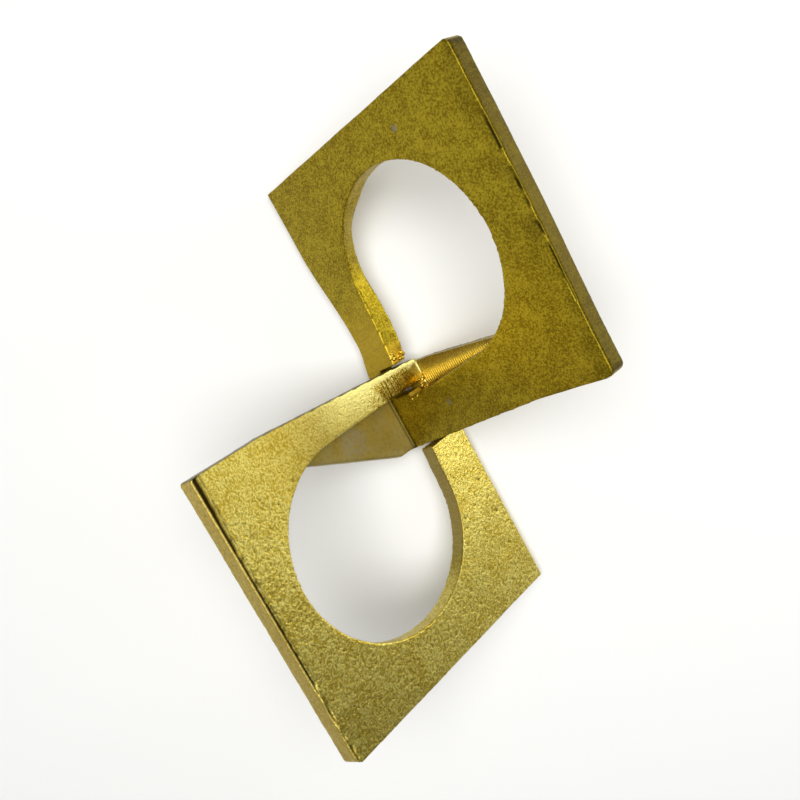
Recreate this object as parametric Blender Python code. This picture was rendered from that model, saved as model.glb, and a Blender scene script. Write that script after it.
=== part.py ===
"""Two flat square links, each with a round window, hooked through each other at one corner.

Both links are the same flat casting with small differences at the hooked corner. They stand on a
table in an open V, each leaning at 45 degrees on its foot edge, and the upper link is the lower
one turned half way round the vertical axis. Metres, +Z up, the origin on the table under the
middle of the pair, +Y along the line where the two plates cross.

A link is drawn flat, in its own frame: x runs up the plate and y along the foot edge, both from
the crossing, and z from the front face to the back face. The plate lies at y <= 0.
"""
import math

import bmesh
import bpy
from mathutils import Matrix, Vector

# One link's plate
SIDE = 0.110
THICKNESS = 0.007
CORNER_RADIUS = 0.002
EDGE_CHAMFER = 0.0008

# The hooked corner: the arms that pass through each other, and the room they have
HOOK_ARM = 0.0145
HOOK_GAP = 0.004
HOOK_PLAY = 0.0008
FOOT_LEG = 0.008
SEAT_CLEARANCE = 0.002
SEAT_ROOM = 0.010
WINDOW_CORNER_RADIUS = 0.004
SEAT_CORNER_RADIUS = 0.0015
TAPER_LENGTH = 0.080

# The toe: the tapered tongue of the corner, folded back behind the other link's arm
TOE_LENGTH = 0.047
TOE_THICKNESS = 0.0045
TOE_SHOULDER = 0.008
TOE_ROOT_DEPTH = 0.026
TOE_TIP_WIDTH = 0.004
TOE_HEEL = 0.001
TOE_CORNER_RADIUS = 0.0015

# The weld seam that closes each link after it has been passed through the other
SEAM_WIDTH = 0.0022
SEAM_GAP = 0.0003

# Derived from the above
OVERLAP = 2 * HOOK_ARM + HOOK_GAP
FOOT_REACH = THICKNESS + SEAT_CLEARANCE + FOOT_LEG
PLATE_MIDDLE = Vector((SIDE / 2 - FOOT_REACH, -SIDE / 2))
WINDOW_CORNER = Vector((0.0, -HOOK_ARM))
LEAN = math.radians(45)
# Each foot edge's 45 degree chamfer lies flat on the table
STANDING_HEIGHT = (FOOT_REACH + THICKNESS - EDGE_CHAMFER) / math.sqrt(2)

# Working values: how far a cutter runs past the plate, how finely the rounds are divided, how
# close two places or two directions are to count as one, and the crease angle of the shading
CUT_MARGIN = 0.004
ARC_STEPS = 88
ROUND_STEPS = 5
SAME_PLACE = 0.0001
PARALLEL = 0.999
SHARP_ANGLE = math.radians(35)

GOLD_FINISH = {"color": (0.42, 0.33, 0.07, 1.0), "metallic": 1.0, "roughness": 0.45}
SEAM_FINISH = {"color": (0.50, 0.38, 0.09, 1.0), "metallic": 1.0, "roughness": 0.35}

# What differs between the two links. The window's size is its width up the plate and its width
# along the foot edge, and its shift is from the plate's middle. The hooked corner stands out from
# the line of the arm's outer edge, or in where it is negative. The toe's outer edge is measured
# inward from that line, at the toe's shoulder and at its tip. A seam crosses either the hooked
# arm, "arm", or the foot edge's arm, "foot", at a distance from the crossing.
LINKS = {
    "lower_link": {
        "turn": 0.0,
        "window_size": Vector((0.077, 0.077)),
        "window_shift": Vector((0.004, 0.001)),
        "corner_stands_out": -0.006,
        "corner_radius": 0.007,
        "toe_edge": (0.0072, 0.0100),
        "seam_across": "arm",
        "seam_at": 0.0075,
    },
    "upper_link": {
        "turn": math.pi,
        "window_size": Vector((0.070, 0.0725)),
        "window_shift": Vector((0.001, -0.0025)),
        "corner_stands_out": 0.0054,
        "corner_radius": 0.002,
        "toe_edge": (-0.0045, 0.0135),
        "seam_across": "foot",
        "seam_at": 0.040,
    },
}


def clear_scene():
    """Remove every object, so the script can be run again in an open file."""
    for scene_object in list(bpy.data.objects):
        bpy.data.objects.remove(scene_object, do_unlink=True)


def make_material(name, finish):
    """One Principled metal."""
    material = bpy.data.materials.new(name)
    material.use_nodes = True
    shader = material.node_tree.nodes["Principled BSDF"]
    shader.inputs["Base Color"].default_value = finish["color"]
    shader.inputs["Metallic"].default_value = finish["metallic"]
    shader.inputs["Roughness"].default_value = finish["roughness"]
    return material


def add_object(name, bm, frame):
    """Turn a bmesh into a named object that hangs on a link's frame."""
    bmesh.ops.recalc_face_normals(bm, faces=bm.faces)
    mesh = bpy.data.meshes.new(name)
    bm.to_mesh(mesh)
    bm.free()
    new_object = bpy.data.objects.new(name, mesh)
    bpy.context.scene.collection.objects.link(new_object)
    new_object.parent = frame
    return new_object


def add_cutter(name, bm, frame):
    """A shape used only in booleans."""
    cutter = add_object(name, bm, frame)
    cutter.hide_render = True
    cutter.display_type = "WIRE"
    return cutter


def add_boolean(target, tool, operation):
    """An exact boolean of one object with a cutter."""
    modifier = target.modifiers.new(f"{operation.lower()}_{tool.name}", "BOOLEAN")
    modifier.operation = operation
    modifier.solver = "EXACT"
    modifier.object = tool


def prism(outline, bottom, top):
    """A bmesh prism over a flat outline, from one height to another."""
    bm = bmesh.new()
    ring = [bm.verts.new((point.x, point.y, bottom)) for point in outline]
    base = bm.faces.new(ring)
    extruded = bmesh.ops.extrude_face_region(bm, geom=[base])
    moved = [item for item in extruded["geom"] if isinstance(item, bmesh.types.BMVert)]
    bmesh.ops.translate(bm, verts=moved, vec=(0, 0, top - bottom))
    return bm


def box(low, high):
    """A bmesh box between two corners."""
    outline = [
        Vector((low[0], low[1])),
        Vector((high[0], low[1])),
        Vector((high[0], high[1])),
        Vector((low[0], high[1])),
    ]
    return prism(outline, low[2], high[2])


def edges_along(bm, axis):
    """The straight edges of a bmesh that run along one axis."""
    return [
        edge
        for edge in bm.edges
        if abs((edge.verts[1].co - edge.verts[0].co).normalized()[axis]) > PARALLEL
    ]


def is_at(edge, point):
    """Whether an upright edge stands at a point of the outline."""
    return (edge.verts[0].co.xy - point).length < SAME_PLACE


def round_edges(bm, edges, radius, steps):
    """Round or chamfer edges of a bmesh."""
    bmesh.ops.bevel(
        bm,
        geom=edges,
        offset=radius,
        offset_type="OFFSET",
        segments=steps,
        profile=0.5,
        affect="EDGES",
    )


def arm_edge(details, x):
    """How far the hooked arm's outer edge stands out at a place along it, within its taper."""
    along = (TAPER_LENGTH - FOOT_REACH - x) / TAPER_LENGTH
    return details["corner_stands_out"] * along


def plate_bmesh(details):
    """The square plate, its corners rounded and its long edges chamfered."""
    hooked_corner = Vector((-FOOT_REACH, arm_edge(details, -FOOT_REACH)))
    outline = [
        hooked_corner,
        Vector((-FOOT_REACH, -SIDE)),
        Vector((SIDE - FOOT_REACH, -SIDE)),
        Vector((SIDE - FOOT_REACH, 0.0)),
        Vector((TAPER_LENGTH - FOOT_REACH, 0.0)),
    ]
    bm = prism(outline, 0.0, THICKNESS)
    upright = edges_along(bm, 2)
    hooked = [edge for edge in upright if is_at(edge, hooked_corner)]
    others = [edge for edge in upright if edge not in hooked]
    round_edges(bm, others, CORNER_RADIUS, ROUND_STEPS)
    hooked = [edge for edge in edges_along(bm, 2) if is_at(edge, hooked_corner)]
    round_edges(bm, hooked, details["corner_radius"], ROUND_STEPS)
    rim = [edge for edge in bm.edges if edge.verts[0].co.z == edge.verts[1].co.z]
    round_edges(bm, rim, EDGE_CHAMFER, 1)
    return bm


def window_outline(details):
    """The window: an oval drawn out by two tangents to a corner beside the hooked arm."""
    centre = PLATE_MIDDLE + details["window_shift"]
    half_width, half_height = details["window_size"] / 2
    to_corner = WINDOW_CORNER - centre
    unit_corner = Vector((to_corner.x / half_width, to_corner.y / half_height))
    heading = math.atan2(unit_corner.y, unit_corner.x)
    half_open = math.acos(min(1.0, 1.0 / unit_corner.length))
    sweep = 2 * (math.pi - half_open)
    outline = [WINDOW_CORNER]
    for step in range(ARC_STEPS + 1):
        angle = heading + half_open + sweep * step / ARC_STEPS
        rim = Vector((half_width * math.cos(angle), half_height * math.sin(angle)))
        outline.append(centre + rim)
    return outline


def window_bmesh(details):
    """The window's cutter, its drawn-out corner rounded."""
    bm = prism(window_outline(details), -CUT_MARGIN, THICKNESS + CUT_MARGIN)
    upright = [edge for edge in edges_along(bm, 2) if is_at(edge, WINDOW_CORNER)]
    round_edges(bm, upright, WINDOW_CORNER_RADIUS, ROUND_STEPS)
    return bm


def seat_bmesh(other_details):
    """The notch beside the window's corner, where the other link's arm passes."""
    other_edge = max(arm_edge(other_details, 0.0), arm_edge(other_details, -THICKNESS))
    low = (FOOT_LEG - FOOT_REACH, -(OVERLAP + other_edge + HOOK_PLAY), -CUT_MARGIN)
    high = (SEAT_ROOM, -HOOK_ARM, THICKNESS + CUT_MARGIN)
    bm = box(low, high)
    round_edges(bm, edges_along(bm, 2), SEAT_CORNER_RADIUS, ROUND_STEPS)
    return bm


def toe_bmesh(details):
    """The toe: a tapered blade square to the plate, from its back face to beyond the front."""
    shoulder_edge, tip_edge = details["toe_edge"]
    heel = THICKNESS - EDGE_CHAMFER
    outline = [
        Vector((heel, -shoulder_edge)),
        Vector((heel, -TOE_ROOT_DEPTH)),
        Vector((0.0, -TOE_ROOT_DEPTH)),
        Vector((-TOE_LENGTH, -(tip_edge + TOE_TIP_WIDTH))),
        Vector((-TOE_LENGTH, -tip_edge)),
        Vector((-TOE_SHOULDER, -shoulder_edge)),
    ]
    outer_face = TOE_HEEL - FOOT_REACH
    bm = prism(outline, outer_face, outer_face + TOE_THICKNESS)
    tip = [
        edge
        for edge in edges_along(bm, 2)
        if edge.verts[0].co.x < -TOE_LENGTH / 2
    ]
    round_edges(bm, tip, TOE_CORNER_RADIUS, ROUND_STEPS)
    # The outline's first axis is the plate's depth and the prism's height lies across the plate
    stand_up = Matrix(((0, 0, 1, 0), (0, 1, 0, 0), (1, 0, 0, 0), (0, 0, 0, 1)))
    bmesh.ops.transform(bm, matrix=stand_up, verts=bm.verts)
    bmesh.ops.reverse_faces(bm, faces=bm.faces)
    return bm


def seam_box(details, half_width):
    """A bar across the hooked arm or the foot arm, as wide as asked, to cut or to fill."""
    distance = details["seam_at"]
    if details["seam_across"] == "arm":
        low = (distance - half_width, -(HOOK_ARM + HOOK_GAP / 2), -CUT_MARGIN)
        high = (distance + half_width, CUT_MARGIN, THICKNESS + CUT_MARGIN)
    else:
        low = (-FOOT_REACH - CUT_MARGIN, -distance - half_width, -CUT_MARGIN)
        high = (PLATE_MIDDLE.x, -distance + half_width, THICKNESS + CUT_MARGIN)
    return box(low, high)


def build_link(name, details, other_details):
    """One link casting and the seam that closes it."""
    frame = bpy.data.objects.new(f"{name}_frame", None)
    bpy.context.scene.collection.objects.link(frame)
    half_turn = Matrix.Rotation(details["turn"], 4, "Z")
    stand = Matrix.Translation((0, OVERLAP / 2, STANDING_HEIGHT))
    lean = Matrix.Rotation(-(math.pi - LEAN), 4, "Y")
    frame.matrix_world = half_turn @ stand @ lean

    window = add_cutter(f"{name}_window_cutter", window_bmesh(details), frame)
    seat = add_cutter(f"{name}_seat_cutter", seat_bmesh(other_details), frame)
    toe = add_cutter(f"{name}_toe_tool", toe_bmesh(details), frame)
    slot_bm = seam_box(details, SEAM_WIDTH / 2 + SEAM_GAP)
    slot = add_cutter(f"{name}_slot_cutter", slot_bm, frame)
    bar = add_cutter(f"{name}_bar_tool", seam_box(details, SEAM_WIDTH / 2), frame)

    link = add_object(name, plate_bmesh(details), frame)
    for cutter in (window, seat, slot):
        add_boolean(link, cutter, "DIFFERENCE")
    add_boolean(link, toe, "UNION")
    link.data.materials.append(make_material(f"{name}_cast_gold", GOLD_FINISH))

    seam = add_object(f"{name}_seam", plate_bmesh(details), frame)
    for cutter in (window, seat):
        add_boolean(seam, cutter, "DIFFERENCE")
    add_boolean(seam, bar, "INTERSECT")
    seam.data.materials.append(make_material(f"{name}_weld_gold", SEAM_FINISH))
    for piece in (link, seam):
        piece.data.shade_smooth()
        piece.data.set_sharp_from_angle(angle=SHARP_ANGLE)


clear_scene()
build_link("lower_link", LINKS["lower_link"], LINKS["upper_link"])
build_link("upper_link", LINKS["upper_link"], LINKS["lower_link"])
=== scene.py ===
"""Looks for a pair of square cast links that hang through each other at one corner.

Each link is a sand-cast aluminium plate under an antique gold tint, with a large window, a hooked
arm that passes through the other link, a dressed weld that closes it, and a tapered toe folded
back behind the other link's arm. A link is shaped flat in its own frame, as a founder would see
it on the bench: x runs up the plate and y along the foot edge, both from the crossing, and z from
the front face to the back face. Its mesh is then stood up where the CAD link stands. Metres.
"""
import logging
import math
import random
from dataclasses import dataclass, field
from enum import Enum

import bmesh
import bpy
from mathutils import Matrix, Vector, noise


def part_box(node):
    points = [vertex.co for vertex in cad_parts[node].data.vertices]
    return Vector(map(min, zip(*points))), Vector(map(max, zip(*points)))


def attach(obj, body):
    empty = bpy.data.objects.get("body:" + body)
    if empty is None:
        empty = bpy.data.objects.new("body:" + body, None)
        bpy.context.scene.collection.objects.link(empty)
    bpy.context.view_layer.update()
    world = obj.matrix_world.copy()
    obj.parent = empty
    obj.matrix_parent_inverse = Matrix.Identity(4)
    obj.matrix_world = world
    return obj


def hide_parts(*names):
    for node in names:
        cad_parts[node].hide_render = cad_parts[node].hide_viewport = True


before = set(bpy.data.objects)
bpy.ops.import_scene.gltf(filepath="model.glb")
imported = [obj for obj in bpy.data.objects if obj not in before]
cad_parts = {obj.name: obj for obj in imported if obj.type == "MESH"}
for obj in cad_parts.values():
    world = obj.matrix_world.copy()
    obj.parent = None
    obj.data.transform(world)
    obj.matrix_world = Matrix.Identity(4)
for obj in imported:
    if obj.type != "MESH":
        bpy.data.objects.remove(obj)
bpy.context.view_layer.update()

LOG = logging.getLogger("linked_squares")
MM = 0.001

# How far a normal turns to the front, from where a face starts to count as front to where it does
FRONT_TURN = (0.3, 0.9)
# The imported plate's edge chamfer, which the pair stands on; the toe stops short of the back by it
EDGE_CHAMFER = 0.8 * MM
# How far past the hooked arm's width a weld on it is cut
ARM_MARGIN = 2 * MM


class SeamSide(Enum):
    """Which arm of the hooked corner a link's weld crosses."""

    HOOKED_ARM = "hooked arm"
    FOOT_ARM = "foot arm"


@dataclass
class Surface:
    """What the founder's work leaves at one point of a casting.

    Attributes:
        lift: How far the skin stands proud, in metres, negative in a hollow.
        recess: How dark the point is, 0 to 1: the tint gathered in the grain's hollows, and painted
            shade in crevices, creases and on faces turned from the light.
        dressed: How far the point was ground or filed, 0 to 1.
        weld: How much weld metal shows, 0 to 1, and on the upper link's foot arm how much painted
            highlight.
        smooth: How far the point was drawn smooth by the fold of the toe, 0 to 1.
        bare: How far the tint has worn off, 0 to 1, and on the lower link's arm how far a pale
            highlight is painted.
    """

    lift: float = 0.0
    recess: float = 0.0
    dressed: float = 0.0
    weld: float = 0.0
    smooth: float = 0.0
    bare: float = 0.0


MASKS = ("recess", "dressed", "weld", "smooth", "bare")


class Point:
    """One point of a casting's skin, in the link's flat frame.

    Attributes:
        place: Where it is, in metres.
        normal: The skin's normal there.
        x: How far up the plate it is, in millimetres.
        y: How far along the foot edge it is, in millimetres.
        z: How far behind the front face it is, in millimetres.
        front: How far it faces the front, 0 to 1.
    """

    def __init__(self, place: Vector, normal: Vector) -> None:
        """Note the place and the normal, and what the marks read from them."""
        self.place, self.normal = place, normal
        self.x, self.y, self.z = place.x / MM, -place.y / MM, place.z / MM
        self.front = ramp(-normal.z, *FRONT_TURN)


def clamp(value: float) -> float:
    """Limit a value to 0..1."""
    return max(0.0, min(1.0, value))


def ramp(value: float, start: float, end: float) -> float:
    """Smooth step from 0 at start to 1 at end.

    Args:
        value: The value to place.
        start: Where the step is 0.
        end: Where the step is 1; it may be below start.

    Returns:
        The step, 0 to 1, with flat ends.
    """
    along = clamp((value - start) / (end - start))
    return along * along * (3.0 - 2.0 * along)


def spot(place: Vector, centre: tuple[float, float], radius: float) -> float:
    """A soft round spot on the plate.

    Args:
        place: The point, in the link's frame.
        centre: The spot's x and y.
        radius: Where the spot fades out.

    Returns:
        1 at the centre, 0 past the radius.
    """
    return ramp((place.xy - Vector(centre)).length, radius, 0.0)


def grain(place: Vector, size: float, seed: float) -> float:
    """Perlin noise with lumps of about a given size.

    Args:
        place: The point.
        size: The lumps' size, in metres.
        seed: An offset that gives each use its own pattern.

    Returns:
        Noise, about -1 to 1.
    """
    return noise.noise(place / size + Vector((seed, seed * 1.7, -seed)))


def linear(hex_colour: str) -> tuple[float, float, float, float]:
    """Turn an sRGB hex colour to linear RGBA.

    Args:
        hex_colour: Six hex digits.

    Returns:
        The linear colour with alpha 1.
    """
    channels = [int(hex_colour[i : i + 2], 16) / 255.0 for i in (0, 2, 4)]
    values = [c / 12.92 if c <= 0.04045 else ((c + 0.055) / 1.055) ** 2.4 for c in channels]
    return (*values, 1.0)


def add_node(
    material: bpy.types.Material,
    kind: str,
    inputs: dict[str | int, object] | None = None,
    settings: dict[str, object] | None = None,
) -> bpy.types.Node:
    """Add one shader node, set it up and link it.

    Args:
        material: The material to add to.
        kind: The node's type name.
        inputs: Input name or number to a constant, or to the socket that feeds it.
        settings: Property name to value.

    Returns:
        The new node.
    """
    node = material.node_tree.nodes.new(kind)
    for name, value in (settings or {}).items():
        setattr(node, name, value)
    for name, value in (inputs or {}).items():
        if isinstance(value, bpy.types.NodeSocket):
            material.node_tree.links.new(value, node.inputs[name])
        else:
            node.inputs[name].default_value = value
    return node


@dataclass(frozen=True)
class CastGold:
    """Sand-cast aluminium under a rubbed antique gold lacquer.

    The sand gives a pebbled skin about a millimetre across, the lacquer gathers dark in its
    hollows, and rubbing leaves the high spots pale and satin.

    Attributes:
        name: The material's name.
        high: The colour of the rubbed high spots.
        low: The colour of the lacquer between them.
        hollow: The colour in the deepest hollows, where the tint gathers, and of the painted shade
            in crevices, creases and on faces turned from the light.
        mottle_size: The size of the lacquer's cloudy patches.
        fleck_size: The size of the fine flecks. The sand's own grit is about 0.3 mm; it is
            coarsened so that it still shows at the camera's distance.
        roughness: The rubbed metal's roughness.
        fleck_depth: How deep the fine flecks are in the bump.
        scored: The colour in the file marks.
        weld_colour: The colour of the weld metal, and of the painted highlight on the upper link's
            foot arm.
        smooth_colour: The colour where the fold drew the skin smooth.
        bare_colour: The colour where the lacquer has worn off, and of the lower link's pale painted
            highlight on its rubbed arm.
    """

    FLECK_SHARE, MOTTLE_SHARE = 0.75, 0.25
    TONE_START, TONE_END = 0.40, 0.60
    NOISE_DETAIL, NOISE_ROUGHNESS = 3.0, 0.6
    SMOOTHER, ROUGHER, DRESSED_ROUGHNESS = 0.10, 0.12, -0.12
    # The lacquer pooled on the smooth faces is partly opaque, so less of the metal shows
    POOLED_METALLIC = 0.35
    FLECK_STRENGTH, STREAK_STRENGTH = 0.8, 0.5
    STREAK_PITCH, STREAK_LENGTH = 0.8 * MM, 9.0 * MM
    STREAK_START, STREAK_END, STREAK_FLOOR = 0.50, 0.64, 0.3

    name: str
    high: str
    low: str
    hollow: str
    mottle_size: float = 9.0 * MM
    fleck_size: float = 0.55 * MM
    roughness: float = 0.42
    fleck_depth: float = 0.10 * MM
    scored: str = "5a4b18"
    weld_colour: str = "e2bd3a"
    smooth_colour: str = "c2a550"
    bare_colour: str = "8f8a80"

    def material(self) -> bpy.types.Material:
        """Build the node material.

        Returns:
            The finished material.
        """
        made = bpy.data.materials.new(self.name)
        made.use_nodes = True
        shader = made.node_tree.nodes["Principled BSDF"]
        place = add_node(made, "ShaderNodeTexCoord").outputs["Object"]
        flat = add_node(made, "ShaderNodeAttribute", settings={"attribute_name": "flat"})
        masks = {
            name: add_node(
                made, "ShaderNodeAttribute", settings={"attribute_name": name}
            ).outputs["Fac"]
            for name in MASKS
        }
        fleck = self._noise(made, place, self.fleck_size)
        mottle = self._noise(made, place, self.mottle_size)
        streak = self._streaks(made, flat.outputs["Vector"])

        tone = add_node(
            made,
            "ShaderNodeMath",
            {0: fleck, 1: self.FLECK_SHARE, 2: 0.0},
            {"operation": "MULTIPLY_ADD"},
        ).outputs[0]
        tone = add_node(
            made,
            "ShaderNodeMath",
            {0: mottle, 1: self.MOTTLE_SHARE, 2: tone},
            {"operation": "MULTIPLY_ADD"},
        ).outputs[0]
        tone = add_node(
            made,
            "ShaderNodeMapRange",
            {"Value": tone, "From Min": self.TONE_START, "From Max": self.TONE_END},
            {"interpolation_type": "SMOOTHSTEP"},
        ).outputs[0]
        colour = self._mix(made, tone, linear(self.low), linear(self.high))
        colour = self._mix(made, masks["smooth"], colour, linear(self.smooth_colour))
        # Tint in the hollows, and painted shade in crevices, creases and on faces turned from the
        # light
        colour = self._mix(made, masks["recess"], colour, linear(self.hollow))
        scratched = add_node(
            made, "ShaderNodeMath", {0: streak, 1: masks["dressed"]}, {"operation": "MULTIPLY"}
        ).outputs[0]
        colour = self._mix(made, scratched, colour, linear(self.scored))
        # Weld metal, and the upper link's painted highlight on its foot arm
        colour = self._mix(made, masks["weld"], colour, linear(self.weld_colour))
        # Worn metal, and the lower link's pale painted highlight on its arm
        colour = self._mix(made, masks["bare"], colour, linear(self.bare_colour))
        made.node_tree.links.new(colour, shader.inputs["Base Color"])

        rough = add_node(
            made,
            "ShaderNodeMapRange",
            {
                "Value": fleck,
                "To Min": self.roughness - self.SMOOTHER,
                "To Max": self.roughness + self.ROUGHER,
            },
        ).outputs[0]
        rough = add_node(
            made,
            "ShaderNodeMath",
            {0: masks["dressed"], 1: self.DRESSED_ROUGHNESS, 2: rough},
            {"operation": "MULTIPLY_ADD"},
        ).outputs[0]
        made.node_tree.links.new(rough, shader.inputs["Roughness"])
        metal = add_node(
            made,
            "ShaderNodeMapRange",
            {"Value": masks["smooth"], "To Min": 1.0, "To Max": self.POOLED_METALLIC},
        ).outputs[0]
        made.node_tree.links.new(metal, shader.inputs["Metallic"])

        flecks = add_node(
            made,
            "ShaderNodeBump",
            {"Strength": self.FLECK_STRENGTH, "Distance": self.fleck_depth, "Height": fleck},
        ).outputs["Normal"]
        scored = add_node(
            made,
            "ShaderNodeBump",
            {
                "Strength": self.STREAK_STRENGTH,
                "Distance": self.fleck_depth,
                "Height": scratched,
                "Normal": flecks,
            },
            {"invert": True},
        ).outputs["Normal"]
        made.node_tree.links.new(scored, shader.inputs["Normal"])
        return made

    def _noise(
        self, made: bpy.types.Material, place: bpy.types.NodeSocket, size: float
    ) -> bpy.types.NodeSocket:
        """Add noise with features of a real size.

        Args:
            made: The material to add to.
            place: The socket of the coordinates.
            size: The features' size, in metres.

        Returns:
            The noise's value.
        """
        inputs = {
            "Vector": place,
            "Scale": 1.0 / size,
            "Detail": self.NOISE_DETAIL,
            "Roughness": self.NOISE_ROUGHNESS,
        }
        return add_node(made, "ShaderNodeTexNoise", inputs).outputs["Fac"]

    def _mix(
        self, made: bpy.types.Material, share: object, first: object, second: object
    ) -> bpy.types.NodeSocket:
        """Add a colour mix and return its result."""
        inputs = {0: share, 6: first, 7: second}
        return add_node(made, "ShaderNodeMix", inputs, {"data_type": "RGBA"}).outputs[2]

    def _streaks(
        self, made: bpy.types.Material, flat: bpy.types.NodeSocket
    ) -> bpy.types.NodeSocket:
        """Add file marks that run across the arm.

        Args:
            made: The material to add to.
            flat: The socket of the place on the plate, with x along the arm.

        Returns:
            How deep the marks are.
        """
        # Real file marks are about 0.35 mm apart; coarsened so that they show from the camera
        along = 1.0 / self.STREAK_LENGTH
        stretched = add_node(
            made,
            "ShaderNodeMapping",
            {"Vector": flat, "Scale": (1.0 / self.STREAK_PITCH, along, along)},
        ).outputs["Vector"]
        lines = add_node(
            made,
            "ShaderNodeTexNoise",
            {"Vector": stretched, "Scale": 1.0, "Detail": self.NOISE_DETAIL},
        ).outputs["Fac"]
        return add_node(
            made,
            "ShaderNodeMapRange",
            {
                "Value": lines,
                "From Min": self.STREAK_START,
                "From Max": self.STREAK_END,
                "To Min": self.STREAK_FLOOR,
            },
            {"interpolation_type": "SMOOTHSTEP"},
        ).outputs[0]


@dataclass
class Stand:
    """Where the pair stands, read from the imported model.

    Attributes:
        crossing: Half the overlap of the two links along Y.
        height: How high the crossing of the front faces is above the table.
        lean: How far each plate leans from upright.
    """

    crossing: float
    height: float
    lean: float = math.radians(45)

    def matrix(self, half_turned: bool) -> Matrix:
        """Get the transform from a link's flat frame to its place.

        Args:
            half_turned: Whether this is the link on the far side of the crossing.

        Returns:
            The transform.
        """
        turn = Matrix.Rotation(math.pi if half_turned else 0.0, 4, "Z")
        up = Matrix.Translation((0, self.crossing, self.height))
        return turn @ up @ Matrix.Rotation(self.lean - math.pi, 4, "Y")


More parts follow.
